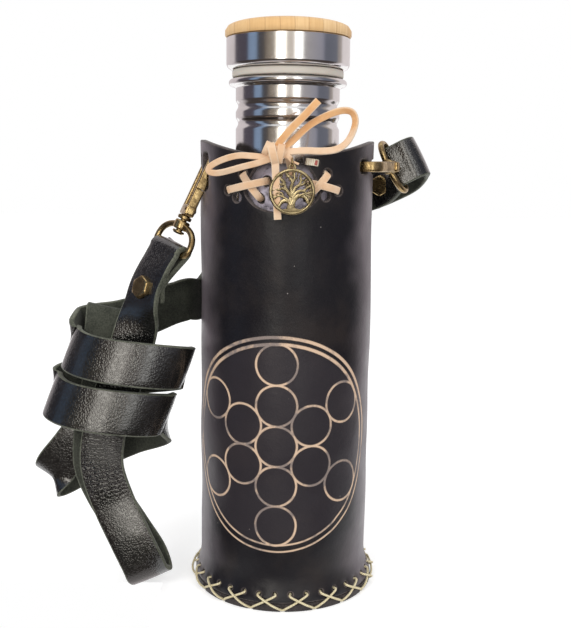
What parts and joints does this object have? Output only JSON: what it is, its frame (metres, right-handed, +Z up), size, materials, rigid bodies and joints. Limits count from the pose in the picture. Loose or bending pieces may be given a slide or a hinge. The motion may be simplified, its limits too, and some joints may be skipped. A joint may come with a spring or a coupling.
{
  "type": "water bottle case",
  "caption": "Round black leather bottle case with laced notch, bow, charm, stitched base, steel bottle with wood lid, and a shoulder strap wound in a hank on a clasp.",
  "frame": {"origin": "centre of the base disc's underside, on the floor", "axes": "+Z up along the case's axis, -Y towards the laced front, +X to the right seen from the front"},
  "size_m": [0.1891, 0.1122, 0.2664],
  "materials": {
    "case_leather": "satin",
    "strap_leather": "satin",
    "lace": "matte",
    "cord": "waxed",
    "brass": "antique",
    "steel": "polished",
    "wood": "oiled",
    "seal": "matte"
  },
  "bodies": {
    "case": {"case_base": "case_leather", "case_body": "case_leather", "base_stitching": "cord", "seam_stitching": "cord", "front_gusset": "case_leather", "lacing_left": "lace", "lacing_right": "lace", "lacing_rise": "lace", "rim_stitch": "cord", "bow_knot": "lace", "bow_loop_left": "lace", "bow_loop_right": "lace", "bow_tail_upper": "lace", "bow_tail_lower": "lace", "charm_hanger": "lace", "right_clasp_hook": "brass", "right_clasp_ring": "brass", "right_gate_pin": "brass", "strap_back_run": "strap_leather", "right_rivet": "brass"},
    "charm": {"charm_disc": "brass", "charm_jump_ring": "brass"},
    "bottle": {"bottle_shell": "steel"},
    "lid_lift": {"lid_seal": "seal"},
    "lid": {"lid_cap": "steel", "lid_wood": "wood", "lid_plug": "seal"},
    "left_clasp": {"left_clasp_hook": "brass", "left_clasp_ring": "brass", "left_gate_pin": "brass", "strap_hank": "strap_leather", "left_rivet": "brass"},
    "left_gate": {"left_gate": "brass"},
    "right_gate": {"right_gate": "brass"}
  },
  "joints": [
    {"name": "bottle_lift", "type": "slide", "parent": "case", "child": "bottle", "axis": [0, 0, 1], "range_m": [0, 0.215]},
    {"name": "lid_rise", "type": "slide", "parent": "bottle", "child": "lid_lift", "axis": [0, 0, 1], "range_m": [0, 0.0136]},
    {"name": "lid_turn", "type": "hinge", "parent": "lid_lift", "child": "lid", "pos_m": [0, 0, 0.25], "axis": [0, 0, 1], "range_deg": [0, 1080]},
    {"name": "charm_swing", "type": "hinge", "parent": "case", "child": "charm", "pos_m": [0.0034, -0.0456, 0.2014], "axis": [-1, 0, 0], "range_deg": [0, 60]},
    {"name": "left_clasp_swing", "type": "hinge", "parent": "case", "child": "left_clasp", "pos_m": [-0.0339, -0.00908, 0.2025], "axis": [-0.2588, 0.9659, 0], "range_deg": [0, 25], "deforming": ["strap_back_run"]},
    {"name": "left_gate_open", "type": "hinge", "parent": "left_clasp", "child": "left_gate", "pos_m": [-0.04324, -0.01697, 0.17932], "axis": [-0.8718, -0.2336, 0.4305], "range_deg": [0, 20], "stiffness_Nm_per_rad": 0.02, "springref_deg": -17.19},
    {"name": "right_gate_open", "type": "hinge", "parent": "case", "child": "right_gate", "pos_m": [0.0498, 0.00068, 0.1995], "axis": [0, 0, -1], "range_deg": [0, 20], "stiffness_Nm_per_rad": 0.02, "springref_deg": -17.19}
  ],
  "couplings": [
    {"joint": "lid_rise", "follows": "lid_turn", "m_per_rad": 0.0007162}
  ]
}
